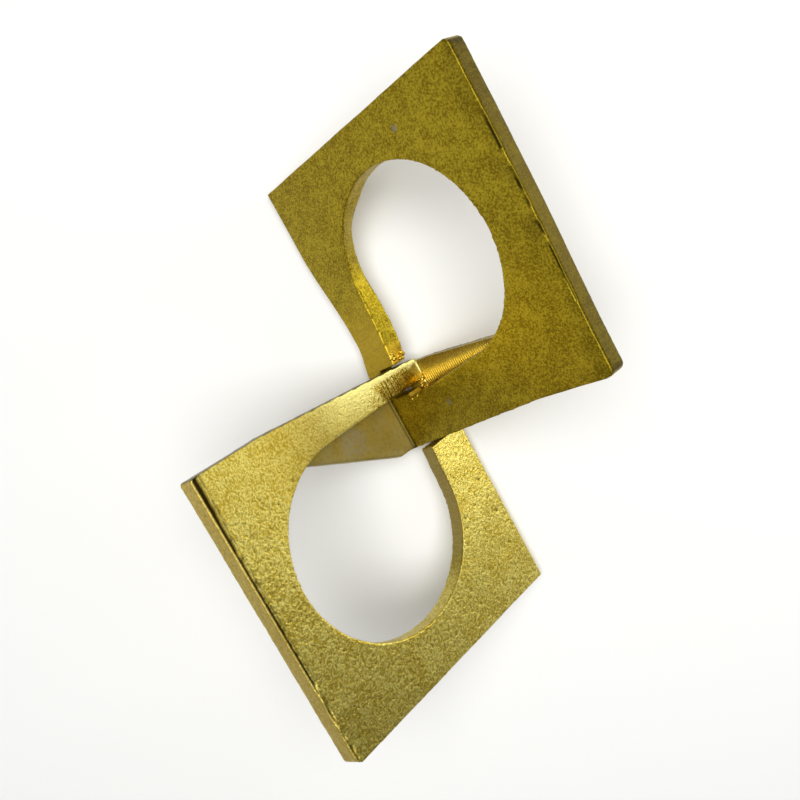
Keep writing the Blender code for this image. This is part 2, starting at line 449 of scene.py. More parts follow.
@dataclass
class Link:
    """One link: its plate, window, seat, toe, weld and skin.

    Lengths are in metres. Depths are measured along the foot edge from the crossing.

    Attributes:
        name: The link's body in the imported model, and the start of its pieces' names.
        stand: Where the pair stands.
        finish: The casting's finish.
        half_turned: Whether this link is on the far side of the crossing.
        window_size: The window's width up the plate and its height along the foot edge.
        window_shift: How far the window's middle is off the plate's.
        corner_stands_out: How far the hooked corner stands out of the square.
        hooked_radius: The hooked corner's radius.
        seat_end: The depth where the seat ends.
        toe_shoulder_edge: The depth of the toe's outer edge at its shoulder.
        toe_tip_edge: The depth of the toe's outer edge at its tip.
        seam_side: Which arm the weld crosses.
        seam_at: How far along that arm the weld's middle is.
        side: The plate's side.
        thickness: The plate's thickness.
        corner_radius: The foot corners' radius.
        end_radius: The radius of the corner farthest from the crossing.
        near_end_radius: The radius of the far end's corner on the hooked arm.
        hook_arm: The hooked arm's width at the crossing.
        foot_reach: How far the plate runs down past the crossing.
        foot_leg: The foot arm's width beside the seat.
        seat_start: The depth where the seat starts.
        seat_room: How far up the plate the seat's cutter reaches.
        window_corner_radius: The window corner's radius.
        taper_length: How long the hooked arm's taper is.
        toe_length: How far the toe stands out in front.
        toe_thickness: The toe's thickness.
        toe_shoulder: How far in front the toe's shoulder is.
        toe_root_depth: The depth of the toe's inner edge at its root.
        toe_tip_width: The toe's width at its tip.
        toe_heel: How far the toe is set in from the foot edge.
        seam_width: The width of the weld's piece.
        skin_step: How fine the skin is.
        grain_size: The size of the sand's lumps.
        grain_height: How far the lumps stand proud.
        seed: The link's own offset in every pattern.
    """

    TOOL_RADIUS = 1.5 * MM
    BEVEL_STEPS, RIM_STEPS = 6, 144
    WAVE_SIZE, WAVE_HEIGHT = 16.0 * MM, 0.12 * MM
    WALL_WAVE_SIZE, WALL_WAVE_HEIGHT = 5.0 * MM, 0.12 * MM
    STRIPE_SIZE, STRIPE_HEIGHT, STRIPE_STRETCH = 0.9 * MM, 0.06 * MM, 0.1
    COARSE_SHARE, FINE_SHARE, FINE_SIZE = 0.65, 0.35, 0.6
    PEBBLE_TOP, PEBBLE_LEVEL = 0.3, 0.1
    HOLLOW_START, HOLLOW_END, HOLLOW_SHARE = 0.05, 0.45, 0.25
    BEAD_GRAIN, BEAD_BUMP = 1.1 * MM, 0.6

    name: str
    stand: Stand
    finish: CastGold
    half_turned: bool
    window_size: Vector
    window_shift: Vector
    corner_stands_out: float
    hooked_radius: float
    seat_end: float
    toe_shoulder_edge: float
    toe_tip_edge: float
    seam_side: SeamSide
    seam_at: float
    side: float = 110.0 * MM
    thickness: float = 7.0 * MM
    corner_radius: float = 1.0 * MM
    end_radius: float = 2.6 * MM
    near_end_radius: float = 2.6 * MM
    hook_arm: float = 14.5 * MM
    foot_reach: float = 17.0 * MM
    foot_leg: float = 8.0 * MM
    seat_start: float = 14.5 * MM
    seat_room: float = 10.0 * MM
    window_corner_radius: float = 4.0 * MM
    taper_length: float = 80.0 * MM
    toe_length: float = 47.0 * MM
    toe_thickness: float = 4.5 * MM
    toe_shoulder: float = 8.0 * MM
    toe_root_depth: float = 26.0 * MM
    toe_tip_width: float = 4.0 * MM
    toe_heel: float = 1.0 * MM
    seam_width: float = 2.8 * MM
    skin_step: float = 0.52 * MM
    grain_size: float = 1.3 * MM
    grain_height: float = 0.12 * MM
    seed: float = 3.1

    @property
    def middle(self) -> Vector:
        """The plate's middle, in the flat frame."""
        return Vector((self.side / 2 - self.foot_reach, -self.side / 2))

    @property
    def toe_face(self) -> float:
        """The x of the toe's face that looks towards the plate's window."""
        return self.toe_heel - self.foot_reach + self.toe_thickness

    def build(self) -> None:
        """Shape the casting, cut its weld out of it as a piece of its own, and dress both."""
        body = self._cast()
        self._raise_skin(body)
        seam = body.copy()
        self._cut_seam(body, keep_seam=False)
        self._cut_seam(seam, keep_seam=True)
        material = self.finish.material()
        self._finish_piece(f"{self.name}_casting", body, material, self.name)
        self._finish_piece(f"{self.name}_weld", seam, material, f"{self.name}_seam")

    def _finish_piece(
        self, name: str, bm: bmesh.types.BMesh, material: bpy.types.Material, node: str | None
    ) -> None:
        """Stand a mesh up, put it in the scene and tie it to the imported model.

        Args:
            name: The piece's name.
            bm: Its mesh in the flat frame; it is freed.
            material: Its finish.
            node: The CAD node it stands for, or None.
        """
        bmesh.ops.transform(bm, matrix=self.stand.matrix(self.half_turned), verts=bm.verts)
        mesh = bpy.data.meshes.new(name)
        bm.to_mesh(mesh)
        bm.free()
        mesh.shade_smooth()
        mesh.materials.append(material)
        piece = bpy.data.objects.new(name, mesh)
        bpy.context.scene.collection.objects.link(piece)
        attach(piece, self.name)
        if node:
            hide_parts(node)
        LOG.info("%s: %d faces", name, len(mesh.polygons))

    def _arm_edge(self, x: float) -> float:
        """How far the hooked arm's outer edge stands out at a place within its taper."""
        left = self.taper_length - self.foot_reach - x
        return self.corner_stands_out * left / self.taper_length

    def _slab(self, outline: list[Vector], bottom: float, top: float) -> bmesh.types.BMesh:
        """Extrude a flat outline between two heights.

        Args:
            outline: The outline's points.
            bottom: The lower height.
            top: The upper height.

        Returns:
            A closed bmesh.
        """
        bm = bmesh.new()
        base = bm.faces.new([bm.verts.new((point.x, point.y, bottom)) for point in outline])
        grown = bmesh.ops.extrude_face_region(bm, geom=[base])["geom"]
        raised = [item for item in grown if isinstance(item, bmesh.types.BMVert)]
        bmesh.ops.translate(bm, verts=raised, vec=(0, 0, top - bottom))
        bmesh.ops.recalc_face_normals(bm, faces=bm.faces)
        return bm

    def _round_uprights(
        self, bm: bmesh.types.BMesh, radii: dict[tuple[float, float], float]
    ) -> None:
        """Round upright edges that stand at given points.

        Args:
            bm: The slab.
            radii: A point's x and y to the radius its edge gets.
        """
        for point, radius in radii.items():
            near = Vector(point)
            edges = [
                edge
                for edge in bm.edges
                if all((vert.co.xy - near).length < 0.1 * MM for vert in edge.verts)
            ]
            bmesh.ops.bevel(
                bm,
                geom=edges,
                offset=radius,
                offset_type="OFFSET",
                segments=self.BEVEL_STEPS,
                profile=0.5,
                affect="EDGES",
                material=-1,
            )

    def _plate(self) -> bmesh.types.BMesh:
        """Shape the square plate with its rounded corners.

        Returns:
            A closed bmesh.
        """
        low, high = -self.foot_reach, self.side - self.foot_reach
        hooked = (low, self._arm_edge(low))
        corners = [hooked, (low, -self.side), (high, -self.side), (high, 0.0)]
        outline = [Vector(point) for point in corners]
        outline.append(Vector((self.taper_length - self.foot_reach, 0.0)))
        bm = self._slab(outline, 0.0, self.thickness)
        radii = {point: self.corner_radius for point in corners}
        radii[corners[2]] = self.end_radius
        radii[corners[3]] = self.near_end_radius
        radii[hooked] = self.hooked_radius
        self._round_uprights(bm, radii)
        return bm

    def _window(self) -> bmesh.types.BMesh:
        """Shape the window's cutter: an oval drawn out by two tangents to the hooked corner.

        Returns:
            A closed bmesh.
        """
        centre = self.middle + self.window_shift
        half_width, half_height = self.window_size / 2
        corner = Vector((0.0, -self.hook_arm))
        away = corner - centre
        reach = Vector((away.x / half_width, away.y / half_height))
        heading = math.atan2(reach.y, reach.x)
        half_open = math.acos(1.0 / reach.length)
        sweep = 2 * (math.pi - half_open)
        steps = self.RIM_STEPS
        angles = [heading + half_open + sweep * step / steps for step in range(steps + 1)]
        outline = [corner]
        for angle in angles:
            rim = Vector((half_width * math.cos(angle), half_height * math.sin(angle)))
            outline.append(centre + rim)
        bm = self._slab(outline, -self.thickness, 2 * self.thickness)
        self._round_uprights(bm, {corner.to_tuple(): self.window_corner_radius})
        return bm

    def _seat(self) -> bmesh.types.BMesh:
        """Shape the cutter for the notch where the other link's arm passes.

        Returns:
            A closed bmesh.
        """
        low = Vector((self.foot_leg - self.foot_reach, -self.seat_end))
        high = Vector((self.seat_room, -self.seat_start))
        corners = [(low.x, low.y), (high.x, low.y), (high.x, high.y), (low.x, high.y)]
        outline = [Vector(point) for point in corners]
        bm = self._slab(outline, -self.thickness, 2 * self.thickness)
        self._round_uprights(bm, {point: self.TOOL_RADIUS for point in corners})
        return bm

    def _toe(self) -> bmesh.types.BMesh:
        """Shape the toe, a tapered blade square to the plate.

        Returns:
            A closed bmesh.
        """
        root = self.thickness - EDGE_CHAMFER
        outline = [
            Vector((root, -self.toe_shoulder_edge)),
            Vector((root, -self.toe_root_depth)),
            Vector((0.0, -self.toe_root_depth)),
            Vector((-self.toe_length, -(self.toe_tip_edge + self.toe_tip_width))),
            Vector((-self.toe_length, -self.toe_tip_edge)),
            Vector((-self.toe_shoulder, -self.toe_shoulder_edge)),
        ]
        outer = self.toe_heel - self.foot_reach
        bm = self._slab(outline, outer, outer + self.toe_thickness)
        tips = {(point.x, point.y): self.TOOL_RADIUS for point in outline[3:5]}
        self._round_uprights(bm, tips)
        stand_up = Matrix(((0, 0, 1, 0), (0, 1, 0, 0), (1, 0, 0, 0), (0, 0, 0, 1)))
        bmesh.ops.transform(bm, matrix=stand_up, verts=bm.verts)
        bmesh.ops.recalc_face_normals(bm, faces=bm.faces)
        return bm

    def _cast(self) -> bmesh.types.BMesh:
        """Join the solids and give the casting an even skin, fine enough to carry its grain.

        Returns:
            A closed bmesh with its edges a little rounded.
        """
        scratch = []
        for label, bm in (
            ("plate", self._plate()),
            ("window", self._window()),
            ("seat", self._seat()),
            ("toe", self._toe()),
        ):
            mesh = bpy.data.meshes.new(label)
            bm.to_mesh(mesh)
            bm.free()
            solid = bpy.data.objects.new(label, mesh)
            bpy.context.scene.collection.objects.link(solid)
            scratch.append(solid)
        plate = scratch[0]
        for tool, operation in zip(scratch[1:], ("DIFFERENCE", "DIFFERENCE", "UNION")):
            cut = plate.modifiers.new(tool.name, "BOOLEAN")
            cut.operation = operation
            cut.solver = "EXACT"
            cut.object = tool
        skin = plate.modifiers.new("skin", "REMESH")
        skin.mode = "VOXEL"
        skin.voxel_size = self.skin_step
        graph = bpy.context.evaluated_depsgraph_get()
        cast = bmesh.new()
        cast.from_mesh(plate.evaluated_get(graph).to_mesh())
        for solid in scratch:
            mesh = solid.data
            bpy.data.objects.remove(solid, do_unlink=True)
            bpy.data.meshes.remove(mesh)
        bmesh.ops.smooth_vert(
            cast, verts=cast.verts, factor=0.5, use_axis_x=True, use_axis_y=True, use_axis_z=True
        )
        cast.normal_update()
        return cast

    def _raise_skin(self, bm: bmesh.types.BMesh) -> None:
        """Move the skin by its relief and note on each vertex what the finish reads.

        Args:
            bm: The casting's mesh in the flat frame.
        """
        layers = {name: bm.verts.layers.float.new(name) for name in MASKS}
        flat = bm.verts.layers.float_vector.new("flat")
        moves = []
        for vert in bm.verts:
            vert.co += self.warp(vert.co)
        bm.normal_update()
        for vert in bm.verts:
            surface = self.surface(Point(vert.co, vert.normal))
            moves.append(vert.normal * surface.lift)
            for name, layer in layers.items():
                vert[layer] = clamp(getattr(surface, name))
            along = vert.co.copy()
            if self.seam_side is SeamSide.FOOT_ARM:
                along.x, along.y = along.y, along.x
            vert[flat] = along
        for vert, move in zip(bm.verts, moves):
            vert.co += move

    def warp(self, place: Vector) -> Vector:
        """How far the hand-dressed shape stands off the drawn one; here, nowhere."""
        return Vector()

    def surface(self, point: Point) -> Surface:
        """Say what one point of the casting looks like.

        Args:
            point: The point of the skin.

        Returns:
            The relief and the masks.
        """
        raise NotImplementedError

    def _sand_skin(self, point: Point) -> Surface:
        """The plain sand-cast skin: pebbled, with soft hollows and slightly wavy edges.

        Args:
            point: The point of the skin.

        Returns:
            The relief and the masks.
        """
        place = point.place
        coarse = grain(place, self.grain_size, self.seed)
        fine = grain(place, self.FINE_SIZE * self.grain_size, self.seed + 5.0)
        pebble = self.COARSE_SHARE * coarse + self.FINE_SHARE * fine
        hollow = ramp(-pebble, self.HOLLOW_START, self.HOLLOW_END)
        wave = grain(place, self.WAVE_SIZE, self.seed + 11.0)
        on_wall = 1.0 - abs(point.normal.z)
        raised = min(pebble, self.PEBBLE_TOP) - self.PEBBLE_LEVEL
        lift = self.grain_height * raised + self.WAVE_HEIGHT * wave
        wall_wave = grain(place, self.WALL_WAVE_SIZE, self.seed + 17.0)
        lift += on_wall * self.WALL_WAVE_HEIGHT * wall_wave
        striped = Vector((place.x, place.y, self.STRIPE_STRETCH * place.z))
        lift += on_wall * self.STRIPE_HEIGHT * grain(striped, self.STRIPE_SIZE, self.seed + 29.0)
        return Surface(lift=lift, recess=self.HOLLOW_SHARE * hollow)

    def _cut_seam(self, bm: bmesh.types.BMesh, keep_seam: bool) -> None:
        """Cut the casting at its weld and keep one side, closed again.

        Args:
            bm: The whole casting's mesh in the flat frame.
            keep_seam: Whether the weld is kept and not the casting.
        """
        across = SeamSide.HOOKED_ARM is self.seam_side
        axis = 0 if across else 1
        where = self.seam_at if across else -self.seam_at
        low, high = where - self.seam_width / 2, where + self.seam_width / 2

        def near(point: Vector) -> bool:
            """Whether a point is on the arm that the weld crosses."""
            return point.y > -self.hook_arm - ARM_MARGIN if across else point.x < self.foot_leg

        for plane in (low, high):
            faces = [f for f in bm.faces if near(f.calc_center_median())]
            geom = set(faces)
            for face in faces:
                geom.update(face.edges)
                geom.update(face.verts)
            point, along = Vector(), Vector()
            point[axis], along[axis] = plane, 1.0
            bmesh.ops.bisect_plane(
                bm, geom=list(geom), dist=1e-7, plane_co=point, plane_no=along
            )
        gone = []
        for face in bm.faces:
            centre = face.calc_center_median()
            inside = near(centre) and low < centre[axis] < high
            if inside != keep_seam:
                gone.append(face)
        bmesh.ops.delete(bm, geom=gone, context="FACES")
        rims = [edge for edge in bm.edges if edge.is_boundary]
        for edge in rims:
            edge.smooth = False
        bmesh.ops.holes_fill(bm, edges=rims, sides=0)
        bmesh.ops.recalc_face_normals(bm, faces=bm.faces)

    def _scatter(
        self,
        draw: random.Random,
        count: int,
        box: tuple[tuple[float, float], ...],
        radii: tuple[float, float],
    ) -> list[tuple[Vector, float]]:
        """Draw places and radii for beads within a box.

        Args:
            draw: The random source.
            count: How many beads.
            box: From where to where along x, along the foot edge and along z, in millimetres.
            radii: The smallest and the largest radius, in millimetres.

        Returns:
            Each bead's place in the flat frame and its radius.
        """
        spots = []
        for _ in range(count):
            place = Vector((draw.uniform(*box[0]), -draw.uniform(*box[1]), 0.0)) * MM
            place.z = draw.uniform(*box[2]) * MM
            spots.append((place, draw.uniform(*radii) * MM))
        return spots

    def _beads(
        self, name: str, spots: list[tuple[Vector, float]], material: bpy.types.Material
    ) -> None:
        """Set small beads of weld metal on the casting.

        Args:
            name: The piece's name.
            spots: Each bead's place in the flat frame and its radius.
            material: The weld's finish.
        """
        bm = bmesh.new()
        for place, radius in spots:
            made = bmesh.ops.create_icosphere(
                bm, subdivisions=2, radius=radius, matrix=Matrix.Translation(place)
            )
            for vert in made["verts"]:
                bump = grain(vert.co, self.BEAD_GRAIN, self.seed + 23.0)
                vert.co += (vert.co - place) * self.BEAD_BUMP * bump
        self._finish_piece(name, bm, material, None)


class LowerLink(Link):
    """The link in front: bright, coarsely pebbled, with a ground nose and a ribbed toe.

    Places are in millimetres, x up the plate and y along the foot edge. A name that ends in X, Y
    or TURN holds where a soft step starts and ends, and TURN is in parts of the normal.
    """

    DRAFT, DRAFT_X = 1.3 * MM, (80.0, 93.0)
    ARM_Y, RUBBED_X = (19.0, 15.0), (60.0, 25.0)
    RUBBED_SHARE, BARE_SHARE = 0.7, 0.45
    RUBBED_FLATTER, RUBBED_CLEANER = 0.7, 0.8
    PATCH, PATCH_SLANT = (2.0, 11.0), 0.5
    PATCH_LENGTH, PATCH_WIDTH = (11.0, 8.5), (5.0, 3.5)
    NICK, NICK_SHARE, NICK_GRIT, NICK_BREAK = (14.0, 12.0), 0.8, 1.4 * MM, (0.0, 0.3)
    NICK_LENGTH, NICK_WIDTH = (4.0, 3.0), (4.0, 2.0)
    PITS = ((-11.3, 61.2), (-10.9, 69.5), (-11.8, 76.2))
    PIT_RADIUS, PIT_DEPTH = 0.8 * MM, 0.45 * MM
    DENT, DENT_RADIUS, DENT_DEPTH = (-5.6, 90.0), 5.0 * MM, 0.12 * MM
    DEEP_SIZE, DEEP_START, DEEP_Y = 1.3 * MM, (0.46, 0.62), (14.0, 18.0)
    DEEP_SHARE, DEEP_DEPTH = 0.5, 0.16 * MM
    SHUT_WIDTH, SHUT_WIDER, SHUT_WAVER, SHUT_INSET = 0.65, 1.0, 0.3, 0.3
    SHUT_WIDER_Y, SHUT_FADE_Y, SHUT_DEPTH = (40.0, 0.0), (55.0, 80.0), 0.7 * MM
    SHUT_WAVER_SIZE, SHUT_BREAK_SIZE = 3.0 * MM, 5.0 * MM
    SHUT_LEVEL, SHUT_BREAK, SHUT_FADE = 1.4, 1.2, 0.7
    SHADE_WIDER, SHADE_SHARE, SHADE_Y = 1.2, 0.9, (105.0, 60.0)
    POOLED_SHARE, POOLED_TURN = 0.6, (0.6, 0.9)
    EDGE_SHARE, EDGE_TURN, EDGE_Y = 0.8, (0.5, 0.9), (12.0, 8.0)
    WALL_SHARE, WALL_TURN, WALL_X = 0.5, (0.3, 0.8), (60.0, 40.0)
    WELD_START, WELD_DRAWN_IN, WELD_DRAWN_X = 15.0, 3.6, (3.0, -7.0)
    WELD_EDGE, WELD_X, WELD_FAR_Y = (-0.3, 0.7), (2.0, -1.0), (27.0, 22.0)
    WELD_LUMP, WELD_LEVEL, WELD_LUMP_SHARE = 1.5 * MM, 0.25, 0.3
    RIB_PITCH, RIB_RADIUS, RIB_SUNK, RIB_SIDES = 1.2 * MM, 0.52 * MM, 0.28 * MM, 10
    RIB_FIRST, RIB_LAST = 1.0 * MM, 1.5 * MM
    NOSE_BEADS, NOSE_BOX = 46, ((-15.5, -8.5), (11.8, 18.5), (0.1, 0.7))
    NOSE_RADII, NOSE_DRAW = (0.5, 1.05), 7

    def warp(self, place: Vector) -> Vector:
        """Lean the far end's face out towards the back, as the mould's draft leaves it.

        Args:
            place: The point, in the flat frame.

        Returns:
            How far the point moves.
        """
        depth = clamp(place.z / self.thickness)
        return Vector((self.DRAFT * depth * ramp(place.x / MM, *self.DRAFT_X), 0.0, 0.0))

    def build(self) -> None:
        """Shape the casting and add the toe's ribs and the nose's beads."""
        super().build()
        weld = WELD_METAL.material()
        self._toe_ribs(weld)
        spots = self._scatter(
            random.Random(self.NOSE_DRAW), self.NOSE_BEADS, self.NOSE_BOX, self.NOSE_RADII
        )
        self._beads(f"{self.name}_nose_beads", spots, weld)

    def surface(self, point: Point) -> Surface:
        """Coarse sand skin, the dressed weld on the hooked arm and the far edge's cold shut.

        Args:
            point: The point of the skin.

        Returns:
            The relief and the masks.
        """
        at = self._sand_skin(point)
        self._dress_arm(at, point)
        self._pit_face(at, point)
        self._open_cold_shut(at, point)
        self._shade_edges(at, point)
        self._weld_nose(at, point)
        return at

    def _dress_arm(self, at: Surface, point: Point) -> None:
        """Rub the hooked arm and paint it paler, as wear and as a painted highlight; grind its weld
        and nick the edge beside it.

        Args:
            at: The point's surface, changed in place.
            point: The point of the skin.
        """
        x, y, front = point.x, point.y, point.front
        arm = ramp(y, *self.ARM_Y)
        beside = y - self.PATCH[1]
        slanted = abs(x - self.PATCH[0] + self.PATCH_SLANT * beside)
        patch = ramp(slanted, *self.PATCH_LENGTH) * ramp(abs(beside), *self.PATCH_WIDTH)
        nick = ramp(abs(x - self.NICK[0]), *self.NICK_LENGTH)
        nick *= ramp(abs(y - self.NICK[1]), *self.NICK_WIDTH)
        nick *= ramp(grain(point.place, self.NICK_GRIT, seed=41.0), *self.NICK_BREAK)
        at.dressed = arm * front * max(patch, self.NICK_SHARE * nick)
        rubbed = max(at.dressed, self.RUBBED_SHARE * arm * front)
        # Pale painted highlight on the arm's front, together with the rubbing there
        worn = self.BARE_SHARE * arm * front * ramp(x, *self.RUBBED_X)
        at.bare = worn * (1.0 - at.dressed)
        at.lift *= 1.0 - self.RUBBED_FLATTER * rubbed
        at.recess *= 1.0 - self.RUBBED_CLEANER * rubbed

    def _pit_face(self, at: Surface, point: Point) -> None:
        """Sink the pits, the dent and the deeper hollows of the sand into the front face.

        Args:
            at: The point's surface, changed in place.
            point: The point of the skin.
        """
        for x, y in self.PITS:
            depth = spot(point.place, (x * MM, -y * MM), self.PIT_RADIUS) * point.front
            at.lift -= self.PIT_DEPTH * depth
            at.recess = max(at.recess, depth)
        centre = (self.DENT[0] * MM, -self.DENT[1] * MM)
        at.lift -= self.DENT_DEPTH * spot(point.place, centre, self.DENT_RADIUS) * point.front
        deep = ramp(grain(point.place, self.DEEP_SIZE, seed=37.0), *self.DEEP_START)
        deep *= point.front * ramp(point.y, *self.DEEP_Y)
        at.lift -= self.DEEP_DEPTH * deep
        at.recess = max(at.recess, self.DEEP_SHARE * deep)

    def _open_cold_shut(self, at: Surface, point: Point) -> None:
        """Open the seam where the metal didn't join along the far end's edge, and paint shade in it
        and beside it.

        Args:
            at: The point's surface, changed in place.
            point: The point of the skin.
        """
        y, far = point.y, (self.side - self.foot_reach) / MM
        width = self.SHUT_WIDTH + self.SHUT_WIDER * ramp(y, *self.SHUT_WIDER_Y)
        width += self.SHUT_WAVER * grain(point.place, self.SHUT_WAVER_SIZE, seed=61.0)
        off = abs(point.x - far + self.SHUT_INSET + 0.5 * width)
        broken = self.SHUT_LEVEL + self.SHUT_BREAK * grain(point.place, self.SHUT_BREAK_SIZE, 67.0)
        shut = ramp(off, width, 0.5 * width) * point.front
        shut *= clamp(broken - self.SHUT_FADE * ramp(y, *self.SHUT_FADE_Y))
        at.lift -= self.SHUT_DEPTH * shut
        shade = ramp(off, width + self.SHADE_WIDER, 0.6 * width) * point.front
        # Painted shade: the seam and a band on each side of it are darkened as the crevice's shadow
        at.recess = max(at.recess, shut, self.SHADE_SHARE * shade * ramp(y, *self.SHADE_Y))

    def _shade_edges(self, at: Surface, point: Point) -> None:
        """Pool the lacquer on the far end, and paint shade on the arm's outer edge and the window's
        wall.

        Args:
            at: The point's surface, changed in place.
            point: The point of the skin.
        """
        at.smooth = self.POOLED_SHARE * ramp(point.normal.x, *self.POOLED_TURN)
        edge = ramp(point.normal.y, *self.EDGE_TURN) * ramp(point.y, *self.EDGE_Y)
        wall = ramp(point.normal.x, *self.WALL_TURN) * ramp(point.x, *self.WALL_X)
        # Painted shade: the arm's outer edge and the window's wall are darkened as faces turned
        # from the light
        at.recess = max(at.recess, self.EDGE_SHARE * edge, self.WALL_SHARE * wall)

    def _weld_nose(self, at: Surface, point: Point) -> None:
        """Run lumpy weld metal on between the nose and the toe's root.

        Args:
            at: The point's surface, changed in place.
            point: The point of the skin.
        """
        start = self.WELD_START - self.WELD_DRAWN_IN * ramp(point.x, *self.WELD_DRAWN_X)
        at.weld = ramp(point.y - start, *self.WELD_EDGE) * ramp(point.x, *self.WELD_X)
        at.weld *= ramp(point.y, *self.WELD_FAR_Y)
        lumps = self.WELD_LUMP_SHARE * grain(point.place, self.WELD_LUMP, seed=53.0)
        at.lift -= at.weld * point.front * MM * (self.WELD_LEVEL - lumps)

    def _toe_ribs(self, material: bpy.types.Material) -> None:
        """Lay the fine ribs that the fold left across the toe's face.

        Args:
            material: The weld's finish.
        """
        bm = bmesh.new()
        depth = -self.RIB_FIRST
        while depth > -(self.toe_length - self.RIB_LAST):
            share = clamp((-depth - self.toe_shoulder) / (self.toe_length - self.toe_shoulder))
            outer = self.toe_shoulder_edge + share * (self.toe_tip_edge - self.toe_shoulder_edge)
            along = -depth / self.toe_length
            inner_tip = self.toe_tip_edge + self.toe_tip_width
            inner = self.toe_root_depth + along * (inner_tip - self.toe_root_depth)
            length = inner - outer
            middle = Vector((self.toe_face - self.RIB_SUNK, -(outer + length / 2), depth))
            bmesh.ops.create_cone(
                bm,
                cap_ends=True,
                segments=self.RIB_SIDES,
                radius1=self.RIB_RADIUS,
                radius2=self.RIB_RADIUS,
                depth=length,
                matrix=Matrix.Translation(middle) @ Matrix.Rotation(math.pi / 2, 4, "X"),
            )
            depth -= self.RIB_PITCH
        self._finish_piece(f"{self.name}_toe_ribs", bm, material, None)


class UpperLink(Link):
    """The link behind: olive, finely mottled, with a smooth tan toe.

    Places are in millimetres, x up the plate and y along the foot edge. A name that ends in X, Y
    or TURN holds where a soft step starts and ends, and TURN is in parts of the normal.
    """

    FOOT_IN, FOOT_FAR_Y, FOOT_NEAR_Y, FOOT_X = 3.6, (84.0, 46.0), (26.0, 42.0), (-1.0, -17.0)
    END_IN, END_X, END_Y = 1.2, (76.0, 93.0), (70.0, 10.0)
    WALL_MIDDLE, WALL_REACH = 8.0, (14.0, 4.0)
    WIDE, WIDE_NEAR_Y, WIDE_FAR_Y = 3.0, (52.0, 84.0), (106.0, 94.0)
    CLOSE, CLOSE_FAR_Y, CLOSE_NEAR_Y = 1.6, (66.0, 42.0), (31.0, 36.0)
    TOE_X, TOE_Z, TOE_FLATTER = (-10.0, -11.5), (0.0, -1.0), 0.5
    CLOUD_SIZE, CLOUD_LEVEL, CLOUD_SHARE = 6.0 * MM, 0.85, 0.5
    FILED_MIDDLE, FILED_REACH, FILED_X, FILED_SHARE = 42.0, (9.0, 4.0), (6.0, 3.0), 0.8
    WELD_SHARE, WELD_Y, WELD_TURN = 0.9, (40.0, 32.0), (0.2, 0.8)
    WELD_HIGH_X, WELD_LOW_X = (9.0, 5.0), (-3.0, -1.0)
    BRIGHT_FAR_Y, BRIGHT_NEAR_Y = (64.0, 38.0), (20.0, 28.0)
    BRIGHT_SHARE, BRIGHT_X = 0.5, (20.0, 8.0)
    SCRATCH, SCRATCH_RADIUS = (19.5, 8.9), 2.2 * MM
    SCRATCH_LEVEL, SCRATCH_BREAK, SCRATCH_SIZE = 0.6, 2.0, 0.9 * MM
    BARE_SPOT, BARE_RADIUS = (58.9, 98.8), 1.6 * MM
    WORN, WORN_REACH, WORN_SHARE = (-25.0, 11.0), (8.0, 3.0), 0.5
    RIM_SIZE, RIM_LEVEL, RIM_BREAK, RIM_SHARE = 9.0 * MM, 0.45, 1.2, 0.4
    RIM_X = (82.0, 92.0)
    SHUT_MIDDLE, SHUT_WIDTH, SHUT_REACH = (92.0, 52.0), (0.9, 0.4), (40.0, 30.0)
    SHUT_BREAK, SHUT_BREAK_SIZE, SHUT_DEPTH = (-0.1, 0.15), 6.0 * MM, 0.4 * MM
    DARK_END_TURN, DARK_END_X, DARK_END_SHARE = (0.6, 0.95), (85.0, 90.0), 0.85
    FOLD_PLACE, FOLD_WIDTH, FOLD_Y, FOLD_SHARE = -11.5, (1.9, 0.9), (27.0, 25.0), 0.7
    HEEL_DRAW, HEEL_BEADS, HEEL_BOX = 11, 16, ((0.0, 5.0), (14.1, 14.9), (0.4, 6.4))
    HEEL_RADII = (0.7, 1.1)
    FILLET_BEADS, FILLET_RADII, FILLET_UP = 26, (0.5, 1.15), (0.2, 1.7)
    FILLET_OFF, FILLET_BACK = (0.2, 5.5), (0.3, 6.6)

    def warp(self, place: Vector) -> Vector:
        """Draw in the foot edge of the foot arm, and dress its window wall off square.

        Args:
            place: The point, in the flat frame.

        Returns:
            How far the point moves.
        """
        x, y, depth = place.x / MM, -place.y / MM, clamp(place.z / self.thickness)
        foot = self.FOOT_IN * ramp(y, *self.FOOT_FAR_Y) * ramp(y, *self.FOOT_NEAR_Y)
        foot *= ramp(x, *self.FOOT_X)
        foot -= self.END_IN * ramp(x, *self.END_X) * ramp(y, *self.END_Y)
        near_wall = ramp(abs(x - self.WALL_MIDDLE), *self.WALL_REACH)
        wide = self.WIDE * ramp(y, *self.WIDE_NEAR_Y) * ramp(y, *self.WIDE_FAR_Y)
        close = self.CLOSE * ramp(y, *self.CLOSE_FAR_Y) * ramp(y, *self.CLOSE_NEAR_Y)
        return Vector((foot + near_wall * depth * (close - wide), 0.0, 0.0)) * MM

    def build(self) -> None:
        """Shape the casting and add the weld's beads at the foot arm's end."""
        super().build()
        self._heel_beads(WELD_METAL.material())

    def surface(self, point: Point) -> Surface:
        """Fine sand skin, file marks on the foot arm and a toe drawn smooth.

        Args:
            point: The point of the skin.

        Returns:
            The relief and the masks.
        """
        at = self._sand_skin(point)
        toe = ramp(point.x, *self.TOE_X) * ramp(point.z, *self.TOE_Z)
        clouds = grain(point.place, self.CLOUD_SIZE, seed=83.0)
        at.smooth = toe * (self.CLOUD_LEVEL + self.CLOUD_SHARE * clouds)
        at.lift *= 1.0 - self.TOE_FLATTER * toe
        self._file_arm(at, point)
        self._shade_edges(at, point)
        self._wear_spots(at, point, toe)
        return at

